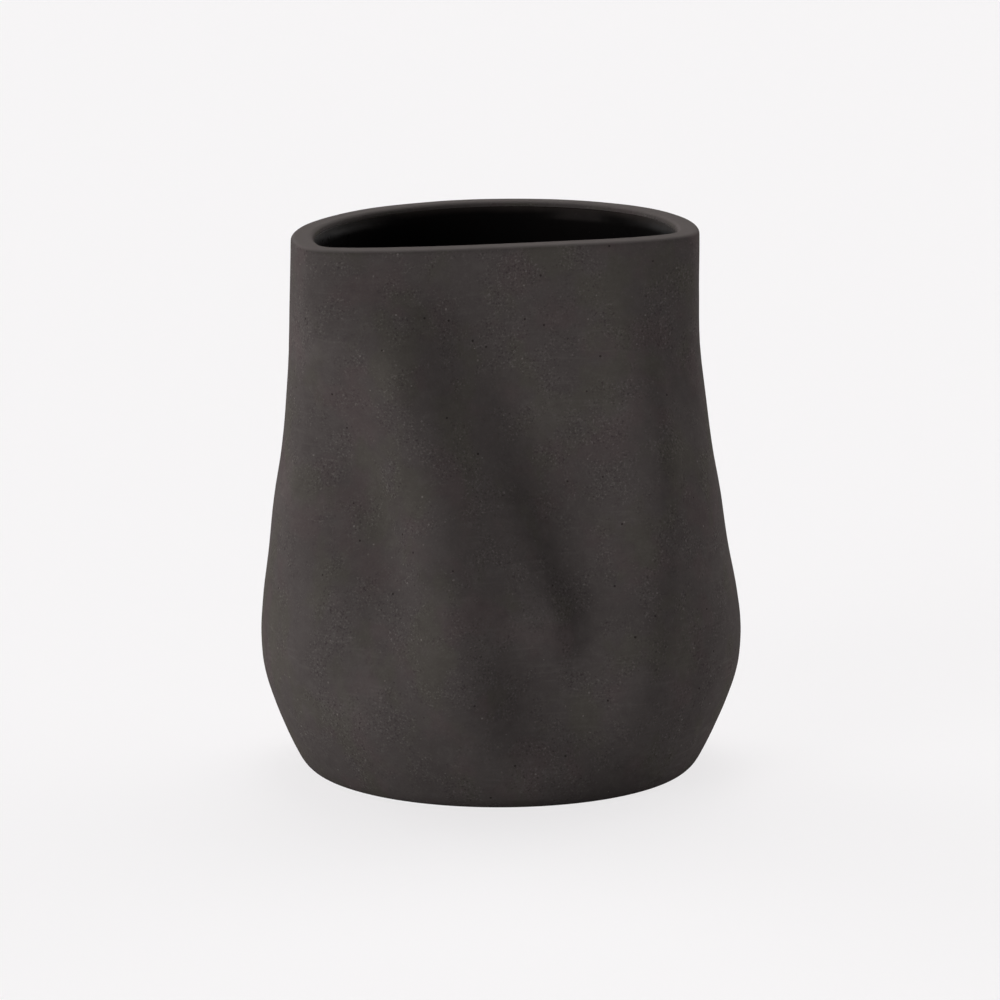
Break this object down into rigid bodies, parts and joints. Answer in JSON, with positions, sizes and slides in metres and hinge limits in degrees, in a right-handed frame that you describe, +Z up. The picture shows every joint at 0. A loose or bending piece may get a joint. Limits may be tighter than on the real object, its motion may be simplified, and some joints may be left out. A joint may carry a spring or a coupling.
{
  "type": "empty candle jar",
  "caption": "Dark matte stoneware candle jar with a D-shaped mouth, a pressed and softly folded side, and a glossy black glazed inside.",
  "frame": {"origin": "on the surface the jar stands on, under the middle of its bounding box, which is within 1 mm of the middle of the foot", "axes": "+Z up through the mouth; -Y towards the front, which is the flattened, folded side; +X to the right as seen from the front"},
  "size_m": [0.0904, 0.089, 0.103],
  "materials": {
    "stoneware": "unglazed, fine sanded matte, dark charcoal brown clay body",
    "glaze": "glossy black food-safe glaze"
  },
  "bodies": {
    "root": {"stoneware_body": "stoneware", "interior_glaze": "glaze"}
  },
  "joints": []
}
